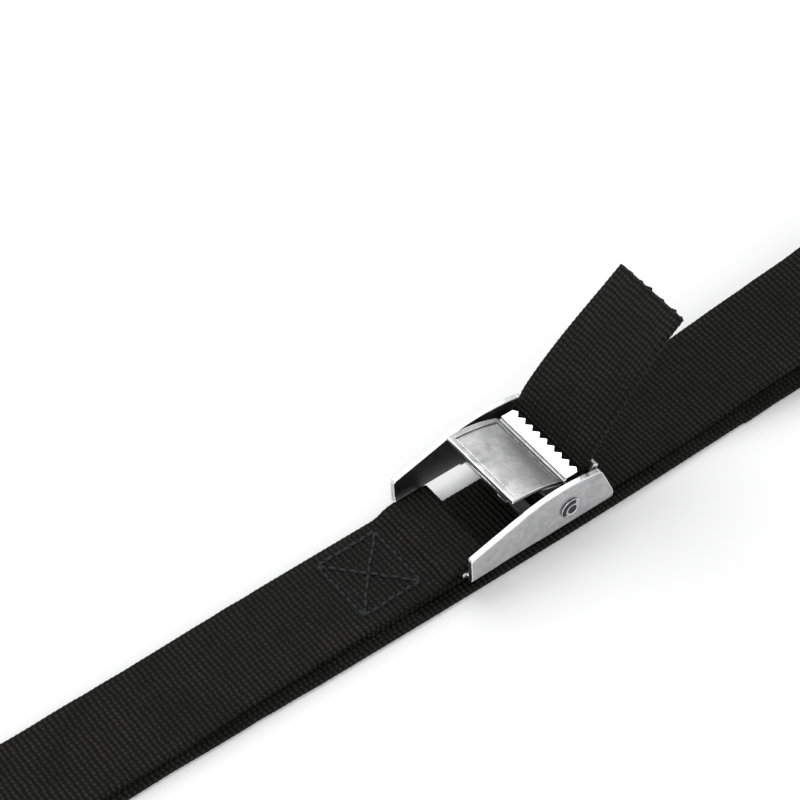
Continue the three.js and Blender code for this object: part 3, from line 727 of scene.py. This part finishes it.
def smooth_noise(count, period, seed):
    """A slow random wave, from -1 to 1, with one value for each station."""
    source = np.random.RandomState(seed)
    knots = source.uniform(-1, 1, int(count / period) + 3)
    at_knots = np.arange(count) / period
    low = at_knots.astype(int)
    t = at_knots - low
    t = t * t * (3 - 2 * t)
    return knots[low] * (1 - t) + knots[low + 1] * t


rib_step = RIB_PITCH / STEPS_PER_RIB
places = station_places(rib_step)
station_count = len(places)
sway = (
    SLOW_SWAY * smooth_noise(station_count, 60, 11) + QUICK_SWAY * smooth_noise(station_count, 14, 12)
).tolist()
pluck = np.random.RandomState(7).normal(0, 1, (station_count, FACE_COLUMNS + 1)).tolist()


def face_rows(columns):
    """Where the lengthwise rows of one face lie across the strap."""
    reach = WEB_WIDTH / 2 - SELVEDGE_ROUND
    return [reach * (2 * j / columns - 1) for j in range(columns + 1)]


def ring_at(i, fine_back):
    """One ring of points round the strap: the outer face, an edge, the inner face, an edge."""
    place = places[i]
    heading = place["heading"]
    along = i * rib_step
    forward = Vector((math.cos(heading), 0, math.sin(heading)))
    normal = Vector((-math.sin(heading), 0, math.cos(heading)))
    across = Vector((0, 1, 0))
    centre = Vector((place["x"], place["y"], place["z"]))
    free = min(1.0, max(0.0, (along - tail_from) / TAIL_LENGTH))
    if free == 0 and abs(place["x"]) >= SWAY_FROM:
        centre.y += sway[i]
    arched = max(0.0, place["z"] - upper_z) if place["x"] > ARCH_FOOT and free == 0 else 0.0
    twist = TAIL_TWIST * free * free * (3 - 2 * free) + ARCH_ROLL * min(1.0, arched / ARCH_ROLL_RISE)
    across, normal = (
        math.cos(twist) * across - math.sin(twist) * normal,
        math.cos(twist) * normal + math.sin(twist) * across,
    )
    ribs = math.cos(2 * math.pi * i / STEPS_PER_RIB)
    sunk = RIB_DEPTH * (1 - ribs) / 2
    half_thick = WEB_THICK / 2
    scallop = SCALLOP * 0.5 * (1 + math.cos(math.pi * i / STEPS_PER_RIB))
    edge = WEB_WIDTH / 2 - scallop
    points = []
    for j, v in enumerate(face_rows(FACE_COLUMNS)):
        zig = ZIGZAG * (1 if j % 2 else -1) + PLUCK * pluck[i][j]
        if i == station_count - 1:
            zig += FRAY * pluck[i][j]
        points.append(centre + v * across + zig * forward - (half_thick - sunk) * normal)
    points.append(centre + edge * across)
    back = face_rows(FACE_COLUMNS if fine_back else PLAIN_COLUMNS)
    for j, v in enumerate(reversed(back)):
        zig = ZIGZAG * (1 if j % 2 else -1) if fine_back else 0.0
        points.append(centre + v * across + zig * forward + (half_thick - sunk) * normal)
    points.append(centre - edge * across)
    return points


def has_fine_back(i):
    """The inner face shows on the lower ply under the buckle, round the cam and on the tail."""
    along = i * rib_step
    under_buckle = places[i]["z"] < upper_z - GAP and abs(places[i]["x"]) < UNDER_BUCKLE
    return along > total - FREE_END or (under_buckle and LOWER_PLY[0] < along < LOWER_PLY[1])


points = []
faces = []
face_uvs = []
ring_starts = []
fine = [has_fine_back(i) for i in range(station_count)]
back_share = FACE_COLUMNS // PLAIN_COLUMNS
for i in range(station_count):
    ring_starts.append(len(points))
    points.extend(ring_at(i, fine[i]))


def column_values(fine_back):
    """How far each point of a ring lies round the strap, in columns of the outer face."""
    step = 1 if fine_back else back_share
    values = list(range(FACE_COLUMNS + 1))
    values.append(values[-1] + 1)
    first = values[-1] + 1
    values += [first + step * j for j in range(FACE_COLUMNS // step + 1)]
    values += [values[-1] + 1, values[-1] + 2]
    return values


for i in range(station_count - 1):
    a, b = ring_starts[i], ring_starts[i + 1]
    values_a, values_b = column_values(fine[i]), column_values(fine[i + 1])
    size_a, size_b = len(values_a) - 1, len(values_b) - 1
    u0, u1 = i / STEPS_PER_RIB, (i + 1) / STEPS_PER_RIB
    if fine[i] == fine[i + 1]:
        for j in range(size_a):
            k = (j + 1) % size_a
            faces.append((a + j, a + k, b + k, b + j))
            v0, v1 = values_a[j], values_a[j + 1]
            face_uvs.append(((u0, v0), (u0, v1), (u1, v1), (u1, v0)))
        continue
    # Where the inner face changes from fine to plain, one wide face meets several narrow ones.
    ja = jb = 0
    while ja < size_a:
        step_a = step_b = 1
        while values_a[ja + step_a] != values_b[jb + step_b]:
            if values_a[ja + step_a] < values_b[jb + step_b]:
                step_a += 1
            else:
                step_b += 1
        side_a = [(a + (ja + s) % size_a, (u0, values_a[ja + s])) for s in range(step_a + 1)]
        side_b = [(b + (jb + s) % size_b, (u1, values_b[jb + s])) for s in range(step_b + 1)]
        ring = side_a + side_b[::-1]
        faces.append(tuple(point for point, uv in ring))
        face_uvs.append(tuple(uv for point, uv in ring))
        ja += step_a
        jb += step_b

for i, flip in ((0, 1), (station_count - 1, -1)):
    size = len(column_values(fine[i])) - 1
    ring = [ring_starts[i] + j for j in range(size)][::-flip]
    faces.append(tuple(ring))
    face_uvs.append(tuple((i / STEPS_PER_RIB, 0.0) for j in ring))

mesh = bpy.data.meshes.new("webbing")
mesh.from_pydata(points, [], faces)
uv_layer = mesh.uv_layers.new(name="weave")
uv_layer.data.foreach_set("uv", np.array([c for corners in face_uvs for c in corners], np.float32).ravel())
mesh.update()
webbing = bpy.data.objects.new("webbing", mesh)
bpy.context.scene.collection.objects.link(webbing)
alone(webbing)
bpy.ops.object.shade_smooth()


def weave_surface():
    """Ribs of webbing with their nubs and loose fibres, from the weave's UV map."""
    group = bpy.data.node_groups.new("ribbed_weave", "ShaderNodeTree")
    sockets = group.interface
    socket = sockets.new_socket("Fibre", in_out="INPUT", socket_type="NodeSocketFloat")
    socket.default_value = 0.25
    sockets.new_socket("Height", in_out="OUTPUT", socket_type="NodeSocketFloat")
    sockets.new_socket("Crest", in_out="OUTPUT", socket_type="NodeSocketFloat")
    outer = group.nodes.new("NodeGroupInput")
    inner = group.nodes.new("NodeGroupOutput")

    def calc(operation, a, b=0.0, c=0.0):
        return put(group, "Math", {0: a, 1: b, 2: c}, operation=operation).outputs[0]

    uv = put(group, "UVMap", uv_map="weave").outputs["UV"]
    wobble = put(group, "TexNoise", {"Vector": uv, "Scale": 0.35, "Detail": 2.0}).outputs["Fac"]
    parts = put(group, "SeparateXYZ", {0: uv})
    u, v = parts.outputs[0], parts.outputs[1]
    drift = calc("MULTIPLY", calc("SUBTRACT", wobble, 0.5), 0.8)
    stagger = calc("MULTIPLY", calc("PINGPONG", v, 1.0), 0.26)
    phase = calc("ADD", calc("ADD", u, stagger), drift)
    rib = calc("ABSOLUTE", calc("COSINE", calc("MULTIPLY", phase, math.pi)))
    column = calc("ABSOLUTE", calc("COSINE", calc("MULTIPLY", v, math.pi)))
    nub = calc("POWER", calc("MULTIPLY", rib, calc("MULTIPLY_ADD", column, 0.5, 0.5)), 2.2)
    stretched = put(group, "Mapping", {"Vector": uv, "Scale": (2.0, 14.0, 1.0)})
    fibres = put(group, "TexNoise", {"Vector": stretched.outputs[0], "Scale": 1.0, "Detail": 3.0})
    height = calc("MULTIPLY_ADD", fibres.outputs["Fac"], outer.outputs["Fibre"], nub)
    group.links.new(height, inner.inputs["Height"])
    group.links.new(nub, inner.inputs["Crest"])
    return group


ribbed_weave = weave_surface()


def cloth_material(name, valley, crest, bump, depth, fibre, **constants):
    """Black yarn, painted light on the rib crests as a highlight and dark between the ribs as shade, the
    highlight coming and going in patches of painted light.
    """
    material, tree, shader = new_material(name, **constants)
    weave = tree.nodes.new("ShaderNodeGroup")
    weave.node_tree = ribbed_weave
    weave.inputs["Fibre"].default_value = fibre
    place = put(tree, "TexCoord").outputs["Object"]
    patches = put(tree, "TexNoise", {"Vector": place, "Scale": 90.0, "Detail": 4.0, "Roughness": 0.6})
    lit = put(tree, "MapRange", {
        "Value": patches.outputs["Fac"], "From Min": 0.3, "From Max": 0.7, "To Min": 0.55, "To Max": 1.1,
    })
    share = put(tree, "Math", {0: weave.outputs["Crest"], 1: lit.outputs["Result"]}, operation="MULTIPLY")
    colour = put(tree, "Mix", data_type="RGBA")
    tree.links.new(share.outputs[0], colour.inputs[0])
    colour.inputs[6].default_value = (*valley, 1)
    colour.inputs[7].default_value = (*crest, 1)
    tree.links.new(colour.outputs[2], shader.inputs["Base Color"])
    relief = put(tree, "Bump", {"Height": weave.outputs["Height"], "Strength": bump, "Distance": depth})
    tree.links.new(relief.outputs["Normal"], shader.inputs["Normal"])
    return material


# The crest colour is a painted highlight and the valley colour a painted shade.
black_webbing = cloth_material(
    "black_webbing", valley=(0.0006, 0.0006, 0.0006), crest=(0.0310, 0.0298, 0.0275),
    bump=1.0, depth=0.26 * MM, fibre=0.35, Roughness=0.6, Specular_IOR_Level=0.12,
)
webbing.data.materials.append(black_webbing)
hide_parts("webbing_sewn_end", "webbing_loop", "webbing_arch", "webbing_cam_run", "webbing_tail")
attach(webbing, "strap_and_frame")

# ------------------------------------------------------------------ box stitching
# A box with a cross in it, sewn in black thread through both plies, shuts the folded end.
STITCH = 2.3 * MM
THREAD = 0.9 * MM
THREAD_RISE = 0.55 * MM
STITCH_LEAN = 7
STITCH_SHIFT = 0.14 * MM
stitch_low, stitch_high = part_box("box_stitching")
seam_z = stitch_low.z + 0.05 * MM


def one_stitch():
    """One stitch: a bead of thread, flattened, with its two ends drawn down into the webbing."""
    bpy.ops.object.select_all(action="DESELECT")
    bpy.ops.mesh.primitive_uv_sphere_add(segments=8, ring_count=6, radius=0.5, rotation=(0, math.pi / 2, 0))
    bead = bpy.context.object
    bpy.ops.object.transform_apply(location=True, rotation=True, scale=True)
    bpy.ops.object.mode_set(mode="EDIT")
    bpy.ops.mesh.select_all(action="SELECT")
    bpy.ops.transform.resize(value=(STITCH * 0.98, THREAD, THREAD_RISE))
    bpy.ops.object.mode_set(mode="OBJECT")
    selected_faces(bead, lambda face: abs(face.calc_center_median().x) > 0.4 * STITCH)
    bpy.ops.transform.translate(value=(0, 0, -0.3 * THREAD_RISE))
    bpy.ops.object.mode_set(mode="OBJECT")
    bpy.ops.object.shade_smooth()
    return bead


def sew(start, end):
    """Copies of the stitch end to end along a line, each a little off it."""
    line = Vector(end) - Vector(start)
    count = round(line.length / STITCH)
    turn = math.atan2(line.y, line.x)
    for k in range(count):
        middle = Vector(start) + line * ((k + 0.5) / count)
        stitch = bpy.data.objects.new("stitch", pattern.data.copy())
        bpy.context.scene.collection.objects.link(stitch)
        lean = math.radians(uneven.uniform(-STITCH_LEAN, STITCH_LEAN))
        shift = Vector((uneven.uniform(-1, 1), uneven.uniform(-1, 1), 0)) * STITCH_SHIFT
        stitch.data.transform(
            Matrix.Translation(middle + shift)
            @ Matrix.Rotation(turn + lean, 4, "Z")
            @ Matrix.Diagonal((line.length / count / STITCH, 1, 1, 1))
        )
        stitches.append(stitch)


uneven = np.random.RandomState(21)
pattern = one_stitch()
stitches = []
x0, x1 = stitch_low.x + THREAD / 2, stitch_high.x - THREAD / 2
y0, y1 = stitch_low.y + THREAD / 2, stitch_high.y - THREAD / 2
corner = [(x0, y0, seam_z), (x1, y0, seam_z), (x1, y1, seam_z), (x0, y1, seam_z)]
for a, b in ((0, 1), (1, 2), (2, 3), (3, 0), (0, 2), (1, 3)):
    sew(corner[a], corner[b])
bpy.data.objects.remove(pattern)
bpy.ops.object.select_all(action="DESELECT")
for stitch in stitches:
    stitch.select_set(True)
bpy.context.view_layer.objects.active = stitches[0]
bpy.ops.object.join()
seam = bpy.context.object
seam.name = "box_seam"
thread_black, tree, shader = new_material("black_thread", Roughness=0.5, Specular_IOR_Level=0.2)
twist_lines = put(tree, "TexNoise", {
    "Vector": put(tree, "TexCoord").outputs["Object"], "Scale": 3500.0, "Detail": 2.0,
})
shade = put(tree, "Mix", data_type="RGBA")
tree.links.new(twist_lines.outputs["Fac"], shade.inputs[0])
shade.inputs[6].default_value = (0.008, 0.009, 0.011, 1)
shade.inputs[7].default_value = (0.024, 0.025, 0.028, 1)
tree.links.new(shade.outputs[2], shader.inputs["Base Color"])
relief = put(tree, "Bump", {"Height": twist_lines.outputs["Fac"], "Strength": 0.6, "Distance": 0.05 * MM})
tree.links.new(relief.outputs["Normal"], shader.inputs["Normal"])
seam.data.materials.append(thread_black)
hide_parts("box_stitching")
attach(seam, "strap_and_frame")
